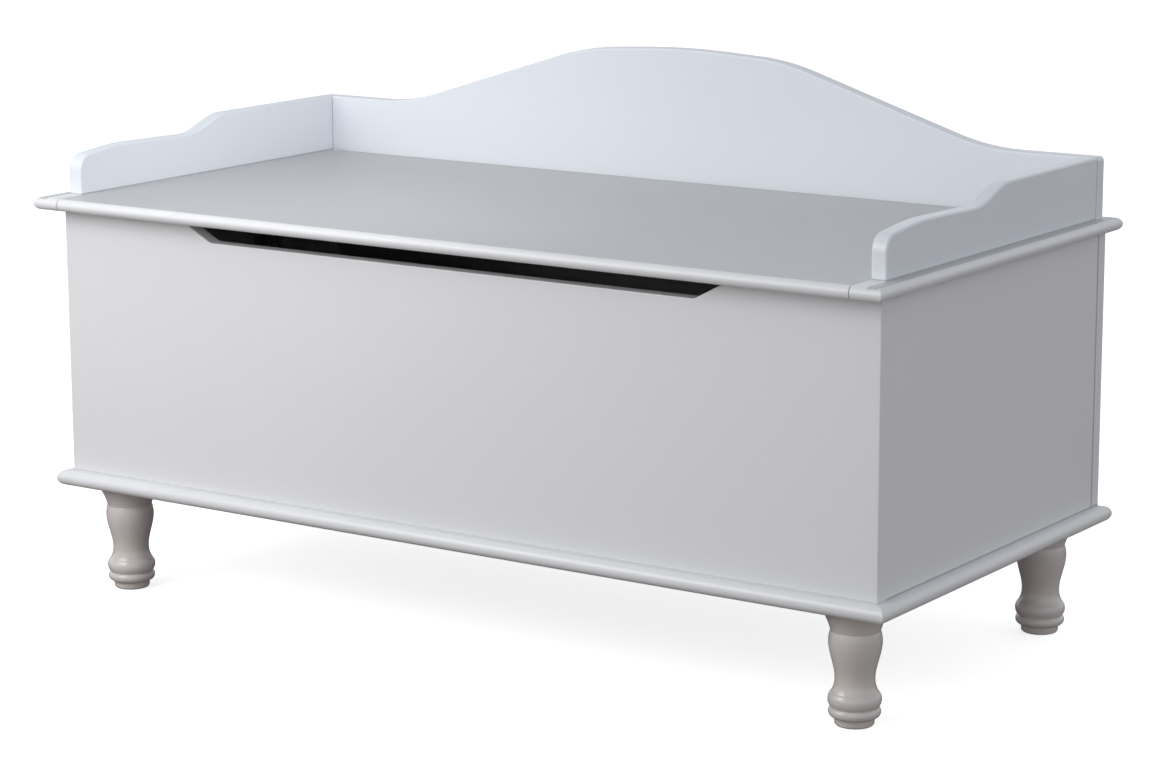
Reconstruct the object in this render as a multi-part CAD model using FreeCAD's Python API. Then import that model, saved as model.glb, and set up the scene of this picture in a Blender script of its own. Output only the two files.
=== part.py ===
import FreeCAD, Part
import math
import os

# A child's toy box that is also a bench.  A board box stands on four turned legs.  Its top is a lid
# between two low arms, hinged along the backrest, and two slotted stays hold the open lid.
# X runs along the bench, -Y is the front, +Z is up.  The origin is on the floor, under the middle.

# overall sizes
carcass_width = 900.0
carcass_depth = 420.0
carcass_height = 260.0
leg_height = 105.0

# boards
panel_thickness = 15.0
base_thickness = 15.0
top_thickness = 12.0
base_front_overhang = 12.0
base_side_overhang = 12.0
base_rear_overhang = 5.0
top_front_overhang = 28.0
top_side_overhang = 14.5
top_rear_overhang = 5.0
panel_edge_ease = 1.0

# finger slot in the top edge of the front panel
slot_depth = 18.0
slot_bottom_length = 536.0
slot_slant_run = 34.0
slot_bottom_radius = 4.0
slot_lip_radius = 2.0

# arms and backrest
arm_thickness = 15.0
arm_front_setback = 7.5
arm_nose_height = 37.0
arm_nose_radius = 15.0
arm_crown_height = 43.5
arm_crown_setback = 58.0
arm_crown_radius = 300.0
arm_dip_height = 41.0
arm_high_height = 57.0
arm_wave_centre = 189.0
arm_wave_run = 44.0
arm_wave_radius = 55.0
backrest_thickness = 15.0
backrest_rear_setback = 7.0
backrest_shoulder_height = 57.0
backrest_crown_height = 131.0
backrest_crown_drop = 5.5
backrest_crown_length = 230.0
backrest_shoulder_length = 116.0
backrest_crown_radius = 780.0
backrest_hip_radius = 240.0
backrest_foot_radius = 226.0
backrest_end_radius = 4.0
shaped_edge_ease = 2.0

# lid
lid_side_gap = 1.0
bumper_thickness = 1.0
bumper_radius = 4.0

# legs, all turned to one pattern
leg_inset_from_side = 40.0
leg_inset_from_front = 35.0
leg_foot_radius = 17.3
leg_foot_height = 4.5
leg_foot_ease = 2.8
leg_low_bead_radius = 22.4
leg_low_bead_height = 10.5
leg_groove_radius = 20.6
leg_groove_height = 16.5
leg_high_bead_radius = 23.3
leg_high_bead_height = 23.5
leg_shoulder_radius = 20.4
leg_shoulder_height = 30.0
leg_neck_radius = 17.5
leg_neck_height = 40.0
leg_body_radius = 23.3
leg_body_drop = 30.0
leg_ring_radius = 21.6
leg_ring_drop = 21.0
leg_collar_radius = 29.0
leg_collar_drop = 3.5
leg_cove_hollow = 0.8

# leg fixings
hanger_bolt_radius = 4.0
hanger_bolt_in_leg = 38.0
tee_nut_radius = 5.3
tee_nut_flange_radius = 10.5
tee_nut_flange_thickness = 1.5
tee_nut_floor = 3.5
bolt_hole_clearance = 0.3

# continuous hinge along the back of the lid
hinge_gap_half = 3.0
hinge_axis_below_top = 2.5
hinge_leaf_thickness = 1.2
hinge_knuckle_radius = 2.7
hinge_pin_radius = 1.25
hinge_pin_clearance = 0.05
hinge_knuckle_pitch = 30.0
hinge_knuckle_gap = 0.3
hinge_end_inset = 10.0
hinge_leaf_edge_inset = 0.2
hinge_screw_count = 9
hinge_screw_end_inset = 24.0
hinge_screw_length = 14.0
hinge_screw_radius = 1.25
hinge_screw_head_radius = 2.1
hinge_screw_head_depth = 0.9
hinge_screw_recess_scale = 0.5

# slotted lid stays
stay_tail_above_floor = 23.0
stay_pivot_below_lid = 11.0
stay_lid_edge_inset = 2.2
stay_closed_angle = 25.0
lid_open_angle = 85.0
stay_plate_thickness = 1.5
stay_plate_length = 46.0
stay_plate_width = 22.0
stay_corner_radius = 4.0
stay_collar_radius = 5.0
stay_stud_radius = 3.0
stay_head_radius = 6.5
stay_head_thickness = 2.0
stay_arm_thickness = 2.0
stay_arm_half_width = 8.0
stay_clearance = 0.3
stay_slot_end_play = 1.5
stay_bracket_thickness = 2.0
stay_foot_length = 26.0
stay_foot_half_width = 13.0
stay_rivet_radius = 2.5
stay_rivet_head_radius = 4.5
stay_rivet_head_thickness = 1.2
stay_pivot_clearance = 0.05
stay_screw_radius = 1.75
stay_screw_head_radius = 3.3
stay_screw_head_depth = 1.4
stay_screw_recess_scale = 0.8
stay_plate_screw_margin = 3.0
stay_foot_screw_margin = 2.0
stay_plate_screw_length = 11.5
stay_foot_screw_length = 9.5

# cam joints and dowels at the front corners
cam_radius = 7.5
cam_past_bolt = 1.5
cam_setback = 24.0
cam_from_end = 55.0
cam_slot_width = 2.0
cam_slot_depth = 2.5
cam_slot_half_length = 5.25
cam_bolt_radius = 3.0
cam_bolt_in_front = 10.0
cam_bolt_head_radius = 3.6
cam_bolt_head_length = 4.0
dowel_radius = 4.0
dowel_in_front = 9.0
dowel_in_side = 20.0
small_dowel_radius = 3.0
dowel_in_arm = 20.0
dowel_in_top_of_panel = 20.0
dowel_in_rail = 9.0
dowel_end_inset = 45.0

# wood screws
screw_radius = 2.0
screw_head_radius = 4.0
screw_head_depth = 2.6
screw_recess_depth = 1.6
screw_recess_length = 4.4
screw_recess_width = 1.0
screw_point_in_radii = 1.6
panel_screw_length = 48.0
base_screw_length = 50.0
base_screw_end_inset = 100.0
base_screw_corner_inset = 70.0
backrest_screw_length = 45.0
backrest_screw_end_inset = 15.0

# how far a cutter runs past the face that it cuts
cut_past = 1.0

# levels and faces that follow from the sizes above
X, Y, Z = FreeCAD.Vector(1, 0, 0), FreeCAD.Vector(0, 1, 0), FreeCAD.Vector(0, 0, 1)
side = carcass_width / 2
inner_side = side - panel_thickness
front_overhang = max(base_front_overhang, top_front_overhang)
rear_overhang = max(base_rear_overhang, top_rear_overhang)
front = -(carcass_depth + front_overhang + rear_overhang) / 2 + front_overhang
rear = front + carcass_depth
front_inner = front + panel_thickness
rear_inner = rear - panel_thickness
base_low = leg_height
base_top = base_low + base_thickness
top_low = base_top + carcass_height
top = top_low + top_thickness
top_nose_front = front - top_front_overhang
top_nose_rear = rear + top_rear_overhang
arm_front = front + arm_front_setback
arm_inner = side - arm_thickness
backrest_rear = rear - backrest_rear_setback
backrest_front = backrest_rear - backrest_thickness
hinge_y = backrest_front - hinge_gap_half
hinge_z = top - hinge_axis_below_top
lid_half = arm_inner - lid_side_gap
lid_rear = hinge_y - hinge_gap_half
cam_depth = panel_thickness / 2 + cam_bolt_radius + cam_past_bolt

os.makedirs("parts", exist_ok=True)


def save(name, *solids):
    shape = solids[0] if len(solids) == 1 else Part.makeCompound(list(solids))
    shape.exportStep("parts/" + name + ".step")
    print(name, len(shape.Solids), shape.isValid(), round(shape.Volume))


def block(x0, x1, y0, y1, z0, z1):
    return Part.makeBox(x1 - x0, y1 - y0, z1 - z0, FreeCAD.Vector(x0, y0, z0))


def rod(radius, length, x, y, z, direction):
    return Part.makeCylinder(radius, length, FreeCAD.Vector(x, y, z), direction)


def mirrored(shape):
    return shape.mirror(FreeCAD.Vector(0, 0, 0), X)


def in_yz(x):
    return lambda y, z: FreeCAD.Vector(x, y, z)


def in_xz(y):
    return lambda x, z: FreeCAD.Vector(x, y, z)


def in_xy(z):
    return lambda x, y: FreeCAD.Vector(x, y, z)


def rounded_face(place, corners):
    """A flat face from corners (a, b, radius), each corner rounded by a tangent arc."""
    points = [place(a, b) for a, b, radius in corners]
    arcs = []
    for i, point in enumerate(points):
        radius = corners[i][2]
        before = (points[i - 1] - point).normalize()
        after = (points[(i + 1) % len(points)] - point).normalize()
        half = before.getAngle(after) / 2
        reach = radius / math.tan(half)
        inward = (before + after).normalize() if radius else before
        middle = point + inward * (radius / math.sin(half) - radius)
        arcs.append((point + before * reach, middle, point + after * reach, radius))
    edges = []
    for i, (enter, middle, leave, radius) in enumerate(arcs):
        if radius:
            edges.append(Part.Arc(enter, middle, leave).toShape())
        following = arcs[(i + 1) % len(arcs)][0]
        if leave.distanceToPoint(following) > 0.001:
            edges.append(Part.LineSegment(leave, following).toShape())
    return Part.Face(Part.Wire(edges))


def nosed_strip(place, low, high, z0, z1, nose_low, nose_high):
    """The end view of a board whose low and high edges are half-round where asked."""
    radius = (z1 - z0) / 2
    middle = (z0 + z1) / 2
    a = low + radius if nose_low else low
    b = high - radius if nose_high else high
    edges = [Part.LineSegment(place(a, z0), place(b, z0)).toShape()]
    if nose_high:
        edges.append(Part.Arc(place(b, z0), place(high, middle), place(b, z1)).toShape())
    else:
        edges.append(Part.LineSegment(place(b, z0), place(b, z1)).toShape())
    edges.append(Part.LineSegment(place(b, z1), place(a, z1)).toShape())
    if nose_low:
        edges.append(Part.Arc(place(a, z1), place(low, middle), place(a, z0)).toShape())
    else:
        edges.append(Part.LineSegment(place(a, z1), place(a, z0)).toShape())
    return Part.Face(Part.Wire(edges))


def nosed_board(x0, x1, y0, y1, z0, z1, noses):
    """A board with half-round noses on the edges named in noses, mitred where two noses meet."""
    along_x = nosed_strip(in_yz(x0), y0, y1, z0, z1, "front" in noses, "rear" in noses)
    along_y = nosed_strip(in_xz(y0), x0, x1, z0, z1, "left" in noses, "right" in noses)
    board = along_x.extrude(X * (x1 - x0))
    return board.common(along_y.extrude(Y * (y1 - y0))).Solids[0]


def turned_profile(points):
    """A body of revolution about X=Y=0 from straight profile points (radius, height)."""
    wire = Part.makePolygon([FreeCAD.Vector(r, 0, z) for r, z in points + points[:1]])
    return Part.Face(wire).revolve(FreeCAD.Vector(0, 0, 0), Z, 360)


def screw_blank(length, radius, head_radius, head_depth):
    """A countersunk screw, head up at Z=0, without its recess: also the shape of its hole."""
    tip = radius * screw_point_in_radii
    outline = [(0, 0), (head_radius, 0), (radius, -head_depth), (radius, tip - length), (0, -length)]
    return turned_profile(outline)


def cross_recess(length, width, depth):
    across = block(-length / 2, length / 2, -width / 2, width / 2, -depth, cut_past)
    along = block(-width / 2, width / 2, -length / 2, length / 2, -depth, cut_past)
    return across.fuse(along)


def stand(shape, position, outward):
    """Move a shape made with its head at the origin, facing +Z, to a position, facing outward."""
    moved = shape.copy()
    turn = FreeCAD.Rotation(Z, outward)
    moved.Placement = FreeCAD.Placement(FreeCAD.Vector(*position), turn)
    return moved


def screws_at(places, outward, length, radius, head_radius, head_depth, recess_scale=1.0):
    """Two lists: the screws, and the blanks that cut their holes."""
    blank = screw_blank(length, radius, head_radius, head_depth)
    recess = cross_recess(screw_recess_length * recess_scale, screw_recess_width * recess_scale,
                          screw_recess_depth * recess_scale)
    screw = blank.cut(recess)
    made = [stand(screw, place, outward) for place in places]
    holes = [stand(blank, place, outward) for place in places]
    return made, holes


def spread(count, low, high):
    return [low + (high - low) * i / (count - 1) for i in range(count)]


# --- fasteners, made first because each one cuts its own hole -------------------------------------
middle_height = (base_top + top_low) / 2
side_centre = side - panel_thickness / 2
front_centre = front + panel_thickness / 2
rear_centre = rear - panel_thickness / 2
arm_centre = side - arm_thickness / 2

leg_places = [(x, y) for x in (-side + leg_inset_from_side, side - leg_inset_from_side)
              for y in (front + leg_inset_from_front, rear - leg_inset_from_front)]

hanger_bolts = []
tee_nuts = []
tee_nut_holes = []
tee_nut_low = base_low + tee_nut_floor
for x, y in leg_places:
    bolt_length = hanger_bolt_in_leg + base_thickness - tee_nut_flange_thickness
    bolt = rod(hanger_bolt_radius, bolt_length, x, y, base_low - hanger_bolt_in_leg, Z)
    hanger_bolts.append(bolt)
    barrel = rod(tee_nut_radius, base_top - tee_nut_low, x, y, tee_nut_low, Z)
    flange_low = base_top - tee_nut_flange_thickness
    flange = rod(tee_nut_flange_radius, tee_nut_flange_thickness, x, y, flange_low, Z)
    body = barrel.fuse(flange).removeSplitter()
    tee_nuts.append(body.cut(rod(hanger_bolt_radius, base_thickness, x, y, base_low, Z)))
    way = rod(hanger_bolt_radius + bolt_hole_clearance, base_thickness, x, y, base_low, Z)
    tee_nut_holes.extend([body, way])

cams = []
cam_bolts = []
cam_pockets = []
cam_y = front_inner + cam_setback
for z in (base_top + cam_from_end, top_low - cam_from_end):
    pocket = rod(cam_radius, cam_depth, inner_side, cam_y, z, X)
    bolt_start = front_inner - cam_bolt_in_front
    shank = rod(cam_bolt_radius, cam_y - bolt_start, side_centre, bolt_start, z, Y)
    head_start = cam_y - cam_bolt_head_length / 2
    head = rod(cam_bolt_head_radius, cam_bolt_head_length, side_centre, head_start, z, Y)
    bolt = shank.fuse(head).removeSplitter()
    drive = block(inner_side - cut_past, inner_side + cam_slot_depth,
                  cam_y - cam_slot_half_length, cam_y + cam_slot_half_length,
                  z - cam_slot_width / 2, z + cam_slot_width / 2)
    cam = pocket.cut(drive).cut(bolt)
    cams.extend([cam, mirrored(cam)])
    cam_bolts.extend([bolt, mirrored(bolt)])
    cam_pockets.extend([pocket, mirrored(pocket)])

panel_dowels = []
for z in spread(2, middle_height - cam_from_end / 2, middle_height + cam_from_end / 2):
    dowel_start = front_inner - dowel_in_front
    dowel = rod(dowel_radius, dowel_in_front + dowel_in_side, side_centre, dowel_start, z, Y)
    panel_dowels.extend([dowel, mirrored(dowel)])

back_places = [(x, rear, z) for x in (-side_centre, side_centre)
               for z in spread(3, base_top + cam_from_end / 2, top_low - cam_from_end / 2)]
back_screws, back_screw_holes = screws_at(back_places, Y, panel_screw_length, screw_radius,
                                          screw_head_radius, screw_head_depth)

base_reach = side - base_screw_end_inset
base_places = [(x, y, base_low) for y in (front_centre, rear_centre)
               for x in spread(4, -base_reach, base_reach)]
side_low = front_inner + base_screw_corner_inset
side_high = rear_inner - base_screw_corner_inset
base_places += [(x, y, base_low) for x in (-side_centre, side_centre)
                for y in spread(3, side_low, side_high)]
base_screws, base_screw_holes = screws_at(base_places, -Z, base_screw_length, screw_radius,
                                          screw_head_radius, screw_head_depth)

arm_dowels = []
dowel_low = top_low - dowel_in_top_of_panel
dowel_run = dowel_in_top_of_panel + top_thickness + dowel_in_arm
for y in spread(4, arm_front + dowel_end_inset, backrest_front - dowel_end_inset):
    dowel = rod(dowel_radius, dowel_run, arm_centre, y, dowel_low, Z)
    arm_dowels.extend([dowel, mirrored(dowel)])

hinge_half = lid_half - hinge_end_inset
screw_xs = spread(hinge_screw_count, -hinge_half + hinge_screw_end_inset,
                  hinge_half - hinge_screw_end_inset)
screw_step = screw_xs[1] - screw_xs[0]
between_screws = [x + screw_step / 2 for x in screw_xs[:-1]]

rail_dowels = []
for x in between_screws[0::2]:
    run = dowel_in_rail + dowel_in_top_of_panel
    rail_dowels.append(rod(small_dowel_radius, run, x, rear_centre, dowel_low, Z))

backrest_dowels = []
for x in between_screws[1::2]:
    run = dowel_in_rail + dowel_in_arm
    y = backrest_front + backrest_thickness / 2
    backrest_dowels.append(rod(small_dowel_radius, run, x, y, top - dowel_in_rail, Z))

backrest_places = [(x, backrest_rear, z) for x in (-arm_centre, arm_centre)
                   for z in (top + backrest_screw_end_inset,
                             top + arm_high_height - backrest_screw_end_inset)]
backrest_screws, backrest_screw_holes = screws_at(backrest_places, Y, backrest_screw_length,
                                                  screw_radius, screw_head_radius,
                                                  screw_head_depth)


# --- hinge ----------------------------------------------------------------------------------------
leaf_low = top_low + hinge_leaf_edge_inset
leaf_high = hinge_z - hinge_knuckle_radius - hinge_knuckle_gap
leaf_inner = hinge_gap_half - hinge_leaf_thickness
knuckle_count = max(3, round(2 * hinge_half / hinge_knuckle_pitch) // 2 * 2 + 1)
knuckle_step = 2 * hinge_half / knuckle_count
leaf_screw_z = (leaf_low + leaf_high) / 2


def hinge_leaf(facing, first_knuckle):
    """One leaf: facing is +1 for the frame's leaf and -1 for the lid's leaf."""
    near, far = sorted((hinge_y + facing * leaf_inner, hinge_y + facing * hinge_gap_half))
    pieces = [block(-hinge_half, hinge_half, near, far, leaf_low, leaf_high)]
    for i in range(first_knuckle, knuckle_count, 2):
        start = -hinge_half + i * knuckle_step + hinge_knuckle_gap / 2
        length = knuckle_step - hinge_knuckle_gap
        pieces.append(block(start, start + length, near, far, leaf_high, hinge_z))
        pieces.append(rod(hinge_knuckle_radius, length, start, hinge_y, hinge_z, X))
    leaf = pieces[0].fuse(pieces[1:]).removeSplitter()
    bore = hinge_pin_radius + hinge_pin_clearance
    run = 2 * (hinge_half + cut_past)
    return leaf.cut(rod(bore, run, -hinge_half - cut_past, hinge_y, hinge_z, X))


def leaf_screws(facing):
    places = [(x, hinge_y + facing * leaf_inner, leaf_screw_z) for x in screw_xs]
    return screws_at(places, Y * -facing, hinge_screw_length, hinge_screw_radius,
                     hinge_screw_head_radius, hinge_screw_head_depth,
                     hinge_screw_recess_scale)


frame_screws, frame_screw_holes = leaf_screws(1)
lid_screws, lid_screw_holes = leaf_screws(-1)
fixed_leaf = hinge_leaf(1, 0).cut(frame_screw_holes)
lid_leaf = hinge_leaf(-1, 1).cut(lid_screw_holes)
hinge_pin = rod(hinge_pin_radius, 2 * hinge_half, -hinge_half, hinge_y, hinge_z, X)


# --- lid stays, made on the right and mirrored to the left ----------------------------------------
# The stud and the pivot are equally far from the hinge, so a straight slot slides over the stud
# while the slotted arm turns at exactly half the lid's rate.
pivot_z = top_low - stay_pivot_below_lid
slot_half = stay_stud_radius + stay_clearance
half_swing = math.radians(stay_closed_angle + lid_open_angle) / 2
arm_tail = pivot_z - base_top - stay_tail_above_floor
open_span = arm_tail - slot_half - stay_slot_end_play - stay_arm_half_width
stay_reach = open_span / (2 * math.sin(half_swing))
pivot_angle = math.asin((hinge_z - pivot_z) / stay_reach)
stud_angle = pivot_angle + math.radians(stay_closed_angle)
pivot_y = hinge_y - stay_reach * math.cos(pivot_angle)
stud_y = hinge_y - stay_reach * math.cos(stud_angle)
stud_z = hinge_z - stay_reach * math.sin(stud_angle)
closed_span = 2 * stay_reach * math.sin(math.radians(stay_closed_angle) / 2)

plate_face = inner_side - stay_plate_thickness
ear_far = min(lid_half, inner_side) - stay_lid_edge_inset
ear_near = ear_far - stay_bracket_thickness
arm_outer_face = ear_near - stay_clearance
arm_inner_face = arm_outer_face - stay_arm_thickness
head_outer_face = arm_inner_face - stay_clearance
collar_length = plate_face - ear_near

plate_half = stay_plate_length / 2
plate_rise = stay_plate_width / 2
plate_corners = [(stud_y + across * plate_half, stud_z + up * plate_rise, stay_corner_radius)
                 for across, up in ((-1, -1), (1, -1), (1, 1), (-1, 1))]
plate_screw_offset = plate_half - stay_screw_head_radius - stay_plate_screw_margin
plate_places = [(plate_face, stud_y + offset, stud_z)
                for offset in (-plate_screw_offset, plate_screw_offset)]
plate_screws, plate_screw_holes = screws_at(plate_places, -X, stay_plate_screw_length,
                                            stay_screw_radius, stay_screw_head_radius,
                                            stay_screw_head_depth, stay_screw_recess_scale)
stay_plate = rounded_face(in_yz(plate_face), plate_corners).extrude(X * stay_plate_thickness)
stay_plate = stay_plate.cut(plate_screw_holes)

collar = rod(stay_collar_radius, collar_length, ear_near, stud_y, stud_z, X)
shank_length = ear_near - head_outer_face
shank = rod(stay_stud_radius, shank_length, head_outer_face, stud_y, stud_z, X)
head_start = head_outer_face - stay_head_thickness
head = rod(stay_head_radius, stay_head_thickness, head_start, stud_y, stud_z, X)
head_edge = [edge for edge in head.Edges if edge.BoundBox.XMax < head_start + stay_head_thickness / 2
             and edge.Curve.TypeId == "Part::GeomCircle"]
head = head.makeFillet(stay_head_thickness / 2, head_edge)
stay_stud = collar.fuse([shank, head]).removeSplitter()

slot_start = closed_span - slot_half - stay_slot_end_play
slot_end = open_span + slot_half + stay_slot_end_play


def capsule(x, start, end, half_width, thickness):
    """A round-ended strip along local Y, extruded along X."""
    corners = [(start, -half_width, half_width), (end, -half_width, half_width),
               (end, half_width, half_width), (start, half_width, half_width)]
    return rounded_face(in_yz(x), corners).extrude(X * thickness)


stay_arm = capsule(arm_inner_face, -stay_arm_half_width, arm_tail, stay_arm_half_width,
                   stay_arm_thickness)
cutter_start = arm_inner_face - cut_past
cutter_run = stay_arm_thickness + 2 * cut_past
stay_arm = stay_arm.cut(capsule(cutter_start, slot_start, slot_end, slot_half, cutter_run))
pivot_bore = stay_rivet_radius + stay_pivot_clearance
stay_arm = stay_arm.cut(rod(pivot_bore, cutter_run, cutter_start, 0, 0, X))
arm_lean = math.degrees(math.atan2(stud_z - pivot_z, stud_y - pivot_y))
stay_arm.rotate(FreeCAD.Vector(0, 0, 0), X, arm_lean)
stay_arm.translate(FreeCAD.Vector(0, pivot_y, pivot_z))

ear_width = stay_arm_half_width
ear_low = pivot_z - ear_width
ear_corners = [(pivot_y - ear_width, ear_low, ear_width), (pivot_y + ear_width, ear_low, ear_width),
               (pivot_y + ear_width, top_low, 0), (pivot_y - ear_width, top_low, 0)]
ear = rounded_face(in_yz(ear_near), ear_corners).extrude(X * stay_bracket_thickness)
foot_corners = [(ear_far - stay_foot_length, pivot_y - stay_foot_half_width, stay_corner_radius),
                (ear_far, pivot_y - stay_foot_half_width, 0),
                (ear_far, pivot_y + stay_foot_half_width, 0),
                (ear_far - stay_foot_length, pivot_y + stay_foot_half_width, stay_corner_radius)]
foot_low = top_low - stay_bracket_thickness
foot = rounded_face(in_xy(foot_low), foot_corners).extrude(Z * stay_bracket_thickness)
foot_screw_x = (ear_far - stay_foot_length + arm_inner_face) / 2
foot_screw_reach = stay_foot_half_width - stay_screw_head_radius - stay_foot_screw_margin
foot_places = [(foot_screw_x, pivot_y + offset, foot_low)
               for offset in (-foot_screw_reach, foot_screw_reach)]
foot_screws, foot_screw_holes = screws_at(foot_places, -Z, stay_foot_screw_length,
                                          stay_screw_radius, stay_screw_head_radius,
                                          stay_screw_head_depth, stay_screw_recess_scale)
rivet_inner = rod(stay_rivet_head_radius, stay_rivet_head_thickness,
                  arm_inner_face - stay_rivet_head_thickness, pivot_y, pivot_z, X)
rivet_outer = rod(stay_rivet_head_radius, stay_rivet_head_thickness, ear_far, pivot_y, pivot_z, X)
rivet_shank = rod(stay_rivet_radius, ear_far - arm_inner_face, arm_inner_face, pivot_y, pivot_z, X)
stay_rivet = rivet_inner.fuse([rivet_shank, rivet_outer]).removeSplitter()
stay_bracket = ear.fuse(foot).removeSplitter()
stay_bracket = stay_bracket.cut(foot_screw_holes + [stay_rivet])


# --- carcass --------------------------------------------------------------------------------------
def eased_where(shape, wanted):
    """Ease the sharp edges whose bounding boxes are wanted."""
    return shape.makeFillet(panel_edge_ease, [edge for edge in shape.Edges if wanted(edge.BoundBox)])


base_board = nosed_board(-side - base_side_overhang, side + base_side_overhang,
                         front - base_front_overhang, rear + base_rear_overhang,
                         base_low, base_top, ("front", "rear", "left", "right"))
base_board = base_board.cut(tee_nut_holes + base_screw_holes)

front_top = top_low - bumper_thickness
slot_floor = front_top - slot_depth
slot_half_low = slot_bottom_length / 2
slot_half_high = slot_half_low + slot_slant_run
front_outline = [(-side, base_top, 0), (side, base_top, 0), (side, front_top, 0),
                 (slot_half_high, front_top, slot_lip_radius),
                 (slot_half_low, slot_floor, slot_bottom_radius),
                 (-slot_half_low, slot_floor, slot_bottom_radius),
                 (-slot_half_high, front_top, slot_lip_radius), (-side, front_top, 0)]
front_panel = rounded_face(in_xz(front), front_outline).extrude(Y * panel_thickness)
front_panel = eased_where(front_panel, lambda box: box.YMax < front_centre and box.ZMax > middle_height)
front_panel = eased_where(front_panel, lambda box: box.YMin > front_centre and box.ZMin > middle_height)
front_panel = front_panel.cut(cam_bolts + panel_dowels + base_screw_holes)

right_side = block(inner_side, side, front_inner, rear_inner, base_top, top_low)
right_side = right_side.cut(cam_bolts + cam_pockets + panel_dowels + arm_dowels
                            + back_screw_holes + base_screw_holes + plate_screw_holes)
left_side = mirrored(right_side)

back_panel = block(-side, side, rear_inner, rear, base_top, top_low)
back_panel = eased_where(back_panel, lambda box: box.ZLength > carcass_height / 2)
back_panel = back_panel.cut(back_screw_holes + base_screw_holes + rail_dowels)

right_rail = nosed_board(arm_inner, side + top_side_overhang, top_nose_front, top_nose_rear,
                         top_low, top, ("front", "rear", "right"))
right_rail = right_rail.cut(arm_dowels)
left_rail = mirrored(right_rail)

rear_rail = nosed_board(-arm_inner, arm_inner, backrest_front, top_nose_rear, top_low, top,
                        ("rear",))
rear_rail = rear_rail.cut(rail_dowels + backrest_dowels + frame_screw_holes)

lid = nosed_board(-lid_half, lid_half, top_nose_front, lid_rear, top_low, top, ("front",))
left_foot_holes = [mirrored(hole) for hole in foot_screw_holes]
lid = lid.cut(lid_screw_holes + foot_screw_holes + left_foot_holes)

bumper_x = (slot_half_high + side) / 2
bumpers = [rod(bumper_radius, bumper_thickness, x, front_centre, front_top, Z)
           for x in (-bumper_x, bumper_x)]


# --- arms and backrest ----------------------------------------------------------------------------
def eased(shape, faces_normal, butts_at):
    """Ease the edges of the two flat faces across faces_normal, but not where they end on a board."""
    edges = []
    for face in shape.Faces:
        if abs(face.normalAt(0, 0).dot(faces_normal)) < 0.99:
            continue
        for edge in face.Edges:
            if edge.BoundBox.ZMax > top + shaped_edge_ease and edge.BoundBox.YMin < butts_at:
                edges.append(edge)
    return shape.makeFillet(shaped_edge_ease, edges)


wave_low = arm_front + arm_wave_centre - arm_wave_run / 2
wave_high = arm_front + arm_wave_centre + arm_wave_run / 2
arm_outline = [(arm_front, top, 0), (backrest_front, top, 0),
               (backrest_front, top + arm_high_height, 0),
               (wave_high, top + arm_high_height, arm_wave_radius),
               (wave_low, top + arm_dip_height, arm_wave_radius),
               (arm_front + arm_crown_setback, top + arm_crown_height, arm_crown_radius),
               (arm_front, top + arm_nose_height, arm_nose_radius)]
right_arm = rounded_face(in_yz(arm_inner), arm_outline).extrude(X * arm_thickness)
right_arm = eased(right_arm, X, backrest_front - shaped_edge_ease).cut(arm_dowels + backrest_screw_holes)
left_arm = mirrored(right_arm)

crown_half = backrest_crown_length / 2
crown_edge = backrest_crown_height - backrest_crown_drop
crown_peak = backrest_crown_height + (backrest_crown_drop / crown_half) ** 2 * backrest_crown_radius / 2
foot_x = side - backrest_shoulder_length
backrest_outline = [(-side, top, 0), (side, top, 0),
                    (side, top + backrest_shoulder_height, backrest_end_radius),
                    (foot_x, top + backrest_shoulder_height, backrest_foot_radius),
                    (crown_half, top + crown_edge, backrest_hip_radius),
                    (0, top + crown_peak, backrest_crown_radius),
                    (-crown_half, top + crown_edge, backrest_hip_radius),
                    (-foot_x, top + backrest_shoulder_height, backrest_foot_radius),
                    (-side, top + backrest_shoulder_height, backrest_end_radius)]
backrest = rounded_face(in_xz(backrest_front), backrest_outline).extrude(Y * backrest_thickness)
backrest = eased(backrest, Y, backrest_rear + shaped_edge_ease)
backrest = backrest.cut(backrest_dowels + backrest_screw_holes)


# --- turned legs ----------------------------------------------------------------------------------
def leg_profile():
    """Half the leg's outline in the XZ plane, from the floor up to the base board."""
    def at(radius, height):
        return FreeCAD.Vector(radius, 0, height)

    bead_low = leg_foot_height + leg_foot_ease
    ring_z = leg_height - leg_ring_drop
    collar_z = leg_height - leg_collar_drop
    ease = leg_foot_ease
    diagonal = ease * (1 - math.sqrt(0.5))
    vase = Part.BSplineCurve()
    vase.interpolate([at(leg_shoulder_radius, leg_shoulder_height), at(leg_neck_radius, leg_neck_height),
                      at(leg_body_radius, leg_height - leg_body_drop), at(leg_ring_radius, ring_z)])
    cove_middle = at((leg_ring_radius + leg_collar_radius) / 2 - leg_cove_hollow, (ring_z + collar_z) / 2)
    return [Part.LineSegment(at(0, 0), at(leg_foot_radius - ease, 0)),
            Part.Arc(at(leg_foot_radius - ease, 0), at(leg_foot_radius - diagonal, diagonal),
                     at(leg_foot_radius, ease)),
            Part.LineSegment(at(leg_foot_radius, ease), at(leg_foot_radius, bead_low)),
            Part.Arc(at(leg_foot_radius, bead_low), at(leg_low_bead_radius, leg_low_bead_height),
                     at(leg_groove_radius, leg_groove_height)),
            Part.Arc(at(leg_groove_radius, leg_groove_height),
                     at(leg_high_bead_radius, leg_high_bead_height),
                     at(leg_shoulder_radius, leg_shoulder_height)),
            vase,
            Part.Arc(at(leg_ring_radius, ring_z), cove_middle, at(leg_collar_radius, collar_z)),
            Part.LineSegment(at(leg_collar_radius, collar_z), at(leg_collar_radius, leg_height)),
            Part.LineSegment(at(leg_collar_radius, leg_height), at(0, leg_height)),
            Part.LineSegment(at(0, leg_height), at(0, 0))]


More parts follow.
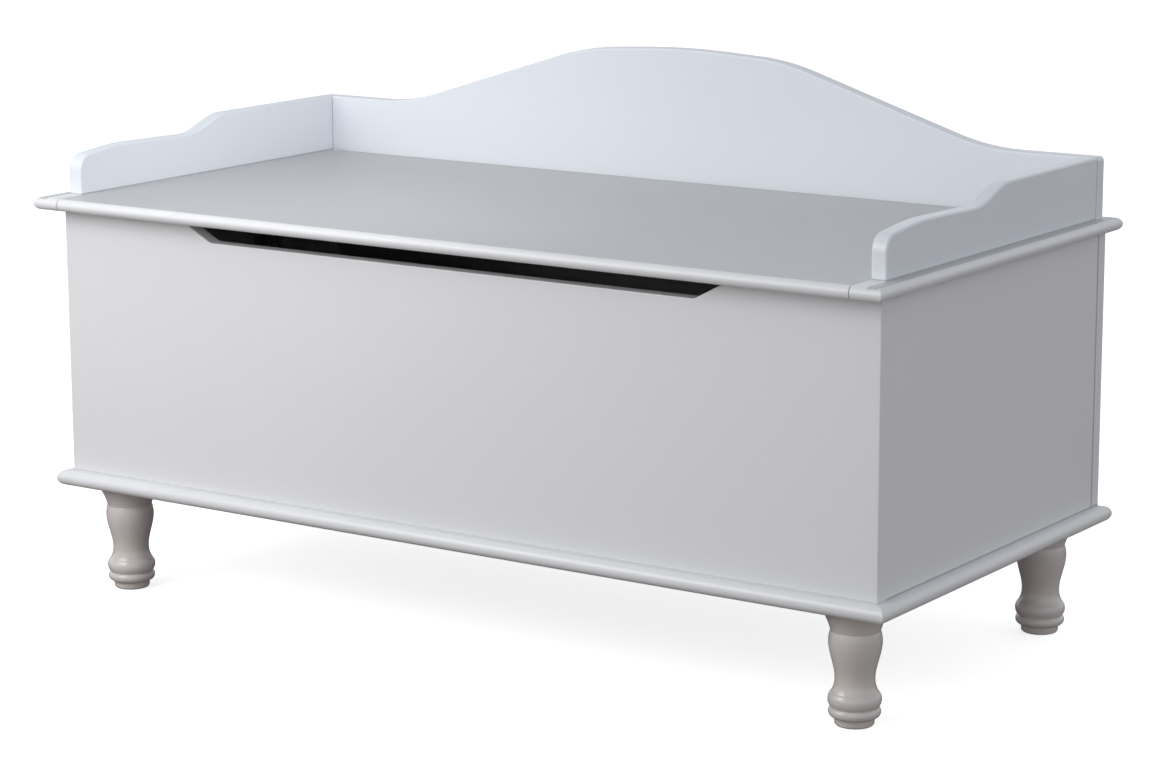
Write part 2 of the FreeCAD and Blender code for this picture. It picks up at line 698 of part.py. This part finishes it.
leg_wire = Part.Wire([curve.toShape() for curve in leg_profile()])
turned_leg = Part.Face(leg_wire).revolve(FreeCAD.Vector(0, 0, 0), Z, 360)
legs = []
for x, y in leg_places:
    leg = turned_leg.copy()
    leg.translate(FreeCAD.Vector(x, y, 0))
    legs.append(leg.cut(hanger_bolts))


# --- write every node -----------------------------------------------------------------------------
save("base_board", base_board)
save("front_panel", front_panel)
save("back_panel", back_panel)
save("left_side_panel", left_side)
save("right_side_panel", right_side)
save("left_top_rail", left_rail)
save("right_top_rail", right_rail)
save("rear_top_rail", rear_rail)
save("left_arm", left_arm)
save("right_arm", right_arm)
save("backrest", backrest)
save("lid", lid)
for name, leg in zip(("front_left_leg", "rear_left_leg", "front_right_leg", "rear_right_leg"), legs):
    save(name, leg)
save("leg_hanger_bolts", *hanger_bolts)
save("leg_tee_nuts", *tee_nuts)
save("hinge_fixed_leaf", fixed_leaf)
save("hinge_lid_leaf", lid_leaf)
save("hinge_pin", hinge_pin)
save("hinge_frame_screws", *frame_screws)
save("hinge_lid_screws", *lid_screws)
save("cam_locks", *cams)
save("cam_bolts", *cam_bolts)
save("panel_dowels", *panel_dowels)
save("back_panel_screws", *back_screws)
save("base_screws", *base_screws)
save("arm_dowels", *arm_dowels)
save("rail_dowels", *rail_dowels)
save("backrest_dowels", *backrest_dowels)
save("backrest_screws", *backrest_screws)
save("lid_bumpers", *bumpers)
save("right_stay_plate", stay_plate)
save("left_stay_plate", mirrored(stay_plate))
save("stay_studs", stay_stud, mirrored(stay_stud))
save("stay_plate_screws", *(plate_screws + [mirrored(screw) for screw in plate_screws]))
save("right_stay_bracket", stay_bracket)
save("left_stay_bracket", mirrored(stay_bracket))
save("stay_rivets", stay_rivet, mirrored(stay_rivet))
save("stay_bracket_screws", *(foot_screws + [mirrored(screw) for screw in foot_screws]))
save("right_stay_arm", stay_arm)
save("left_stay_arm", mirrored(stay_arm))
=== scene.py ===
import math

import bmesh
import bpy
from mathutils import Matrix, Vector


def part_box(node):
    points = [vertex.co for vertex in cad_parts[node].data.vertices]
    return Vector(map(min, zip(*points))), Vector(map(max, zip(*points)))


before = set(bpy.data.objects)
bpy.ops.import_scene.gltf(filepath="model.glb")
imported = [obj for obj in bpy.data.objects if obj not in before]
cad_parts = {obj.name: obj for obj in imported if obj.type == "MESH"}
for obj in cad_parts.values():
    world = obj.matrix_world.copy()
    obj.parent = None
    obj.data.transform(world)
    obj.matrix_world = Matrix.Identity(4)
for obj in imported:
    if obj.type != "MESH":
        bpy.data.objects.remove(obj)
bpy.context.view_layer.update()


# --- turned legs ------------------------------------------------------------------------------------
# Four short legs, each turned from one piece of beech to the same pattern: a foot, two beads, a waisted
# body and a collar. They are sprayed white before fitting; their white is painted darker and warmer
# as shade, most of all in the grooves.

class Socket:
    """One node output. Sums, differences and products of sockets add their own Math nodes."""

    def __init__(self, tree, socket=None):
        self.tree = tree
        self.socket = socket

    def node(self, kind, settings, inputs, output=0):
        """Add a node: its settings first (a ramp's stops too), then its inputs, values or sockets."""
        made = self.tree.nodes.new(kind)
        for name, value in settings.items():
            if name != "stops":
                setattr(made, name, value)
        for i, (position, colour) in enumerate(settings.get("stops", ())):
            stops = made.color_ramp.elements
            stop = stops[i] if i < 2 else stops.new(position)
            stop.position = position
            stop.color = colour
        for name, value in inputs.items():
            if isinstance(value, Socket):
                self.tree.links.new(value.socket, made.inputs[name])
            else:
                made.inputs[name].default_value = value
        return Socket(self.tree, made.outputs[output])

    def maths(self, operation, first, second):
        return self.node("ShaderNodeMath", {"operation": operation}, {0: first, 1: second})

    def __add__(self, other):
        return self.maths("ADD", self, other)

    def __radd__(self, other):
        return self.maths("ADD", other, self)

    def __sub__(self, other):
        return self.maths("SUBTRACT", self, other)

    def __rsub__(self, other):
        return self.maths("SUBTRACT", other, self)

    def __mul__(self, other):
        return self.maths("MULTIPLY", self, other)

    def __rmul__(self, other):
        return self.maths("MULTIPLY", other, self)


def smooth_step(signal, low, high):
    """0 below low, 1 above high, and smooth between."""
    settings = {"interpolation_type": "SMOOTHSTEP"}
    return signal.node("ShaderNodeMapRange", settings, {"Value": signal, 1: low, 2: high, 3: 0.0, 4: 1.0})


def mottle(place, size, detail=2.0):
    """Soft random patches about size metres across, between 0 and 1."""
    inputs = {"Vector": place, "Scale": 1.0 / size, "Detail": detail, "Roughness": 0.5}
    return place.node("ShaderNodeTexNoise", {}, inputs)


def mix_colours(mask, below, above):
    """The colour below where the mask is 0 and the colour above where it is 1."""
    inputs = {0: mask, 6: below, 7: above}
    return mask.node("ShaderNodeMix", {"data_type": "RGBA"}, inputs, 2)


def start_finish(name):
    """A new material: itself, its shader node, and the place on the piece as a socket."""
    material = bpy.data.materials.new(name)
    material.use_nodes = True
    shader = material.node_tree.nodes["Principled BSDF"]
    place = Socket(material.node_tree).node("ShaderNodeTexCoord", {}, {}, "Object")
    return material, shader, place


def feed(shader, name, signal):
    """Link a socket to an input of the shader."""
    signal.tree.links.new(signal.socket, shader.inputs[name])


cloud_size = 0.22
gloss_patch_size = 0.05
panel_wave_size = 0.09
speck_size = 0.006
orange_peel_size = 0.0042
stipple_size = 0.0011
# A warm grey-brown laid on as painted shade, under the base board and in the legs' grooves.
warm_painted_shade = (0.62, 0.57, 0.50, 1.0)


def darker(paint, share=0.955):
    """The same paint with a little less light in it."""
    return tuple(channel * share for channel in paint[:3]) + (1.0,)


def rough_up(shader, place, height, strength, depth):
    """Raise the surface by a pattern, up to depth metres."""
    inputs = {"Strength": strength, "Distance": depth, "Height": height}
    feed(shader, "Normal", place.node("ShaderNodeBump", {}, inputs))


def spray(shader, place, specks, roughness):
    """What every sprayed board shares: a slightly uneven gloss over orange peel and slow waves."""
    feed(shader, "Roughness", roughness + 0.07 * mottle(place, gloss_patch_size) + 0.03 * specks)
    height = mottle(place, orange_peel_size, 1.0) + 0.35 * mottle(place, stipple_size)
    height = height + 6.0 * mottle(place, panel_wave_size, 0.0)
    rough_up(shader, place, height, 0.22, 0.00022)


def lacquer(name, paint, painted_shade_tone=warm_painted_shade, painted_shade_mask=None, roughness=0.30, coat=0.12):
    """Sprayed satin lacquer, faintly clouded, with a painted shade tone laid where the mask says."""
    material, shader, place = start_finish(name)
    clouds = mottle(place, cloud_size, 3.0)
    specks = mottle(place, speck_size, 4.0)
    colour = mix_colours(clouds * 0.7 + specks * 0.3, darker(paint), paint)
    if painted_shade_mask is not None:
        colour = mix_colours(painted_shade_mask(place) * (0.65 + 0.35 * specks), colour, painted_shade_tone)
    feed(shader, "Base Color", colour)
    spray(shader, place, specks, roughness)
    shader.inputs["Coat Weight"].default_value = coat
    shader.inputs["Coat Roughness"].default_value = 0.14
    return material


def dress(material, *nodes):
    """Give CAD nodes their finish."""
    for node in nodes:
        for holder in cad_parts[node].material_slots:
            holder.material = material


def groove_shade_mask(centre, radius_low, radius_high):
    """Painted shade, 1 deep in a turned groove and 0 on the beads, from the distance to the leg's axis.
    """
    def mask(place):
        level = place.node("ShaderNodeVectorMath", {"operation": "MULTIPLY"}, {0: place, 1: (1, 1, 0)})
        inputs = {0: level, 1: (centre.x, centre.y, 0)}
        away = place.node("ShaderNodeVectorMath", {"operation": "DISTANCE"}, inputs, "Value")
        return 0.55 * (1.0 - smooth_step(away, radius_low, radius_high))
    return mask


white = (0.80, 0.80, 0.81, 1.0)
# Painted shade: the legs' white is darker and warmer than the boards', for the dim warm light under the
# box.
shaded_leg_white = (0.67, 0.62, 0.60, 1.0)
neck_radius = 0.0180
bead_radius = 0.0226
for leg in ("front_left_leg", "front_right_leg", "rear_left_leg", "rear_right_leg"):
    low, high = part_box(leg)
    grooves = groove_shade_mask((low + high) / 2, neck_radius, bead_radius)
    dress(lacquer(leg + "_white", shaded_leg_white, painted_shade_mask=grooves, roughness=0.20, coat=0.35), leg)


# --- leg fixings ------------------------------------------------------------------------------------
# A hanger bolt in the top of each leg screws into a flanged tee nut pressed into the base board.
# Both are steel with bright zinc plate, which shows as soft crystals of slightly different grey.

zinc_crystal_size = 0.0025


def zinc(name, tint):
    """Bright zinc plate on steel: soft crystals and dull patches, with fine scratches."""
    material, shader, place = start_finish(name)
    crystals = place.node("ShaderNodeTexVoronoi", {}, {"Vector": place, "Scale": 1.0 / zinc_crystal_size})
    dull = mottle(place, 0.012, 3.0)
    feed(shader, "Base Color", mix_colours(crystals * 0.6 + dull * 0.4, darker(tint, 0.8), tint))
    feed(shader, "Roughness", 0.24 + 0.22 * dull)
    scratches = mottle(place, 0.0006, 2.0)
    rough_up(shader, place, scratches, 0.25, 0.00008)
    shader.inputs["Metallic"].default_value = 1.0
    return material


screw_zinc = zinc("bright_zinc", (0.63, 0.64, 0.66, 1.0))
dress(screw_zinc, "leg_hanger_bolts", "leg_tee_nuts")


# --- base board -------------------------------------------------------------------------------------
# The floor of the box: a 15 mm board with its edge rounded to a half circle all round. It is sprayed
# white, screwed up into the panels from below, and its countersunk screws sit flush underneath.

def near_planes(planes, strength):
    """1 within reach of any of the planes (axis, place, reach), fading out: painted shade along a joint
    or edge.
    """
    def mask(place):
        total = 0.0
        for axis, middle, reach in planes:
            along = place.node("ShaderNodeSeparateXYZ", {}, {0: place}, axis)
            away = place.node("ShaderNodeMath", {"operation": "ABSOLUTE"}, {0: along - middle})
            total = (1.0 - smooth_step(away, reach * 0.35, reach)) + total
        return place.node("ShaderNodeMath", {"operation": "MINIMUM"}, {0: total * strength, 1: 1.0})
    return mask


# Painted shade: a dark grey laid along joints and in the corner beside each arm.
joint_shade_grey = (0.22, 0.23, 0.24, 1.0)
base_low, base_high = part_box("base_board")
# Painted shade: the lowest 6 mm of the base board fade to a warm grey-brown.
underside = near_planes([("Z", base_low.z, 0.006)], 0.30)
dress(lacquer("base_white", white, painted_shade_mask=underside), "base_board")
dress(screw_zinc, "base_screws")


# --- front panel ------------------------------------------------------------------------------------
# One board across the whole front, with a long finger slot cut in its top edge so that the lid can be
# lifted. It covers the ends of the side panels and is held to them from inside.

# Painted shade: a faint dark line along the foot of the front panel, at the base board.
front_foot = near_planes([("Z", base_high.z, 0.0022)], 0.35)
dress(lacquer("front_white", white, painted_shade_tone=joint_shade_grey, painted_shade_mask=front_foot), "front_panel")


# --- side panels and back panel ---------------------------------------------------------------------
# Two side panels stand between the front and the back. The back panel covers their rear ends and is
# screwed into them. Its edge shows as a fine upright line near each rear corner, with painted shade on
# it.

side_low, side_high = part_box("right_side_panel")
# Painted shade: dark lines along the panels' top and bottom joints and at the rear edge.
side_joints = near_planes([("Z", side_low.z, 0.0024), ("Z", side_high.z, 0.0024),
                           ("Y", side_high.y, 0.0018)], 0.8)
side_white = lacquer("side_white", white, painted_shade_tone=joint_shade_grey, painted_shade_mask=side_joints)
dress(side_white, "left_side_panel", "right_side_panel", "back_panel")
dress(screw_zinc, "back_panel_screws")


# --- corner joints ----------------------------------------------------------------------------------
# Cam locks in the side panels draw the front panel tight on steel bolts, and beech dowels line it up.
# The dowels are plain turned wood, with grain along their length.

dress(screw_zinc, "cam_locks", "cam_bolts")


def beech(name, along):
    """Bare beech with its grain along one axis of the piece."""
    material, shader, place = start_finish(name)
    stretch = tuple(0.08 if axis == along else 1.0 for axis in "XYZ")
    stretched = place.node("ShaderNodeVectorMath", {"operation": "MULTIPLY"}, {0: place, 1: stretch})
    grain = mottle(stretched, 0.0012, 4.0)
    flecks = mottle(stretched, 0.0004, 1.0)
    colour = mix_colours(grain * 0.75 + flecks * 0.25, (0.46, 0.29, 0.16, 1.0), (0.72, 0.54, 0.36, 1.0))
    feed(shader, "Base Color", colour)
    feed(shader, "Roughness", 0.55 + 0.15 * grain)
    rough_up(shader, place, grain, 0.4, 0.00015)
    return material


dress(beech("beech_along_y", "Y"), "panel_dowels")
dress(beech("beech_along_z", "Z"), "arm_dowels", "rail_dowels", "backrest_dowels")


# --- top rails --------------------------------------------------------------------------------------
# The fixed border of the top: a rail over each side panel and one over the back panel, with the same
# half-round edge as the lid. Like the carcass they are sprayed white all over.

rail_low, rail_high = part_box("right_top_rail")
arm_low, arm_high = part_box("right_arm")


def shade_beside_arm(place):
    """Painted shade, 1 on the narrow flat outside an arm, where the arm shades the corner."""
    across = place.node("ShaderNodeSeparateXYZ", {}, {0: place}, "X")
    away = place.node("ShaderNodeMath", {"operation": "ABSOLUTE"}, {0: across})
    up = place.node("ShaderNodeSeparateXYZ", {}, {0: place}, "Z")
    flat_edge = rail_high.x - (rail_high.z - rail_low.z) / 2
    outside = smooth_step(away, arm_high.x - 0.0005, arm_high.x + 0.0005)
    on_flat = 1.0 - smooth_step(away, flat_edge, flat_edge + 0.003)
    return 0.62 * outside * on_flat * smooth_step(up, rail_high.z - 0.002, rail_high.z - 0.0005)


rail_white = lacquer("rail_white", white, painted_shade_tone=joint_shade_grey, painted_shade_mask=shade_beside_arm)
dress(rail_white, "left_top_rail", "right_top_rail", "rear_top_rail")


# --- arms and backrest ------------------------------------------------------------------------------
# Low arms with a wave in their top edge stand on the side rails, and the backrest with its raised
# middle stands behind them. All three are 15 mm board with eased edges, sprayed white.

cool_white = (0.80, 0.83, 0.87, 1.0)
# Painted shade: dark lines along the foot of each arm and where it meets the backrest.
arm_joints = near_planes([("Z", arm_low.z, 0.0018), ("Y", arm_high.y, 0.0016)], 0.7)
arm_white = lacquer("arm_white", cool_white, painted_shade_tone=joint_shade_grey, painted_shade_mask=arm_joints)
dress(arm_white, "left_arm", "right_arm")
dress(lacquer("backrest_white", cool_white), "backrest")
dress(screw_zinc, "backrest_screws")


# --- hinge ------------------------------------------------------------------------------------------
# A continuous hinge of folded nickel-plated strip, rolled round a long pin, closes the gap between the
# lid and the rear rail. Each leaf is screwed to the edge of its board.

def brushed_steel(name, tint, streaks, roughness):
    """Plated strip, drawn along one axis, so that its fine lines run that way."""
    material, shader, place = start_finish(name)
    stretch = tuple(0.02 if axis == streaks else 1.0 for axis in "XYZ")
    drawn = place.node("ShaderNodeVectorMath", {"operation": "MULTIPLY"}, {0: place, 1: stretch})
    lines = mottle(drawn, 0.0005, 2.0)
    dull = mottle(place, 0.02, 2.0)
    feed(shader, "Base Color", mix_colours(lines * 0.6 + dull * 0.4, darker(tint, 0.8), tint))
    feed(shader, "Roughness", roughness + 0.12 * lines + 0.10 * dull)
    rough_up(shader, place, lines, 0.3, 0.00005)
    shader.inputs["Metallic"].default_value = 1.0
    return material


nickel = brushed_steel("hinge_nickel", (0.70, 0.69, 0.66, 1.0), "X", 0.28)
dress(nickel, "hinge_fixed_leaf", "hinge_lid_leaf", "hinge_pin")
dress(screw_zinc, "hinge_frame_screws", "hinge_lid_screws")


# --- lid --------------------------------------------------------------------------------------------
# The seat: one 12 mm board between the arms, with a half-round front edge that overhangs the finger
# slot. Its flat top is sprayed pale grey, the edge and underside white, and it closes on soft bumpers.

grey = (0.55, 0.55, 0.56, 1.0)


def two_tone(name, edge_paint, flat_paint):
    """Lacquer that is one colour on the rounded edges and another on the flat that faces up."""
    material, shader, place = start_finish(name)
    up = place.node("ShaderNodeTexCoord", {}, {}, "Normal")
    up = up.node("ShaderNodeSeparateXYZ", {}, {0: up}, "Z")
    on_flat = smooth_step(up, 0.975, 0.995)
    clouds = mottle(place, cloud_size, 3.0)
    specks = mottle(place, speck_size, 4.0)
    paint = mix_colours(on_flat, edge_paint, flat_paint)
    shade = mix_colours(on_flat, darker(edge_paint), darker(flat_paint))
    feed(shader, "Base Color", mix_colours(clouds * 0.7 + specks * 0.3, shade, paint))
    spray(shader, place, specks, 0.33)
    return material


dress(two_tone("lid_grey_and_white", white, grey), "lid")


def soft_rubber():
    """Matt grey rubber with a fine moulded grain."""
    material, shader, place = start_finish("bumper_rubber")
    grain = mottle(place, 0.0007, 3.0)
    feed(shader, "Base Color", mix_colours(grain, (0.30, 0.30, 0.29, 1.0), (0.46, 0.46, 0.45, 1.0)))
    feed(shader, "Roughness", 0.62 + 0.2 * grain)
    rough_up(shader, place, grain, 0.4, 0.0001)
    return material


dress(soft_rubber(), "lid_bumpers")


# --- lid stays --------------------------------------------------------------------------------------
# On each side a slotted steel arm hangs from a bracket under the lid and slides over a stud on the side
# panel, so that the lid stays where it is put. The parts are pressed from zinc-plated strip.

stay_steel = brushed_steel("stay_steel", (0.60, 0.60, 0.60, 1.0), "Z", 0.34)
dress(stay_steel, "left_stay_arm", "right_stay_arm", "left_stay_plate", "right_stay_plate",
      "left_stay_bracket", "right_stay_bracket", "stay_studs", "stay_rivets")
dress(screw_zinc, "stay_plate_screws", "stay_bracket_screws")


# --- floor ------------------------------------------------------------------------------------------
# The box stands on a wide pale sheet. Its upper face is for the camera, and a duller one just below it
# gives back the weak warm light that comes up under the box.

scene = bpy.context.scene
floor_half = 14.0


def floor_sheet(name, height, colour, glow):
    """A large flat sheet that gives off some light of its own."""
    shape = bmesh.new()
    corners = [shape.verts.new((x * floor_half, y * floor_half, height))
               for x, y in ((-1, -1), (1, -1), (1, 1), (-1, 1))]
    shape.faces.new(corners)
    mesh = bpy.data.meshes.new(name)
    shape.to_mesh(mesh)
    shape.free()
    material, shader, place = start_finish(name)
    feed(shader, "Base Color", mix_colours(mottle(place, 0.8), darker(colour, 0.985), colour))
    shader.inputs["Roughness"].default_value = 0.9
    shader.inputs["Emission Color"].default_value = (1.0, 1.0, 1.0, 1.0)
    shader.inputs["Emission Strength"].default_value = glow
    mesh.materials.append(material)
    sheet = bpy.data.objects.new(name, mesh)
    scene.collection.objects.link(sheet)
    return sheet


paper = floor_sheet("pale_floor", 0.0, (0.90, 0.90, 0.90, 1.0), 0.72)
paper.visible_diffuse = False
paper.visible_glossy = False
under = floor_sheet("floor_bounce", -0.002, (0.34, 0.30, 0.27, 1.0), 0.0)
under.visible_camera = False


# --- light ------------------------------------------------------------------------------------------
# One large soft light stands low at the front, left of the middle, so the front is brightest at its
# left end. A small one above the seat lights the left arm, and the pale room fills the shadows.

def soft_light(name, position, target, width, height, watts):
    """A white rectangle of light that faces a target."""
    data = bpy.data.lights.new(name, "AREA")
    data.shape = "RECTANGLE"
    data.size = width
    data.size_y = height
    data.energy = watts
    light = bpy.data.objects.new(name, data)
    light.location = position
    light.rotation_euler = (Vector(target) - Vector(position)).to_track_quat("-Z", "Y").to_euler()
    scene.collection.objects.link(light)


soft_light("key", (-0.6, -1.2, 0.9), (-0.1, 0.0, 0.25), 0.9, 0.7, 8.9)
soft_light("arm_fill", (0.30, -0.30, 0.80), (-0.45, -0.05, 0.45), 0.3, 0.3, 0.30)
bpy.data.lights["arm_fill"].spread = math.radians(60.0)

world = bpy.data.worlds.new("room")
scene.world = world
world.use_nodes = True
room = Socket(world.node_tree)
seen = room.node("ShaderNodeLightPath", {}, {}, "Is Camera Ray")
toward = room.node("ShaderNodeTexCoord", {}, {}, "Generated")
upward = room.node("ShaderNodeSeparateXYZ", {}, {0: toward}, "Z")
walls = (0.93, 0.955, 1.0, 1.0)
ceiling = (0.37, 0.385, 0.41, 1.0)
around = mix_colours(smooth_step(upward, 0.25, 0.85), walls, ceiling)
pale = room.node("ShaderNodeBackground", {}, {"Color": around, "Strength": 0.955})
bright = room.node("ShaderNodeBackground", {}, {"Color": (1.0, 1.0, 1.0, 1.0), "Strength": 1.0})
both = room.node("ShaderNodeMixShader", {}, {0: seen, 1: pale, 2: bright})
world.node_tree.links.new(both.socket, world.node_tree.nodes["World Output"].inputs["Surface"])
scene.view_settings.view_transform = "Standard"


# --- camera -----------------------------------------------------------------------------------------
# A long lens from the front right, a little above the backrest.

camera_data = bpy.data.cameras.new("camera")
camera_data.sensor_width = 36.0
camera_data.lens = 104.2
camera = bpy.data.objects.new("camera", camera_data)
camera.location = (1.765, -2.565, 0.866)
heading = Matrix.Rotation(math.radians(34.31), 3, "Z")
tilt = Matrix.Rotation(math.radians(90.0 - 11.75), 3, "X")
roll = Matrix.Rotation(math.radians(-0.2), 3, "Z")
camera.rotation_euler = (heading @ tilt @ roll).to_euler()
scene.collection.objects.link(camera)
scene.camera = camera
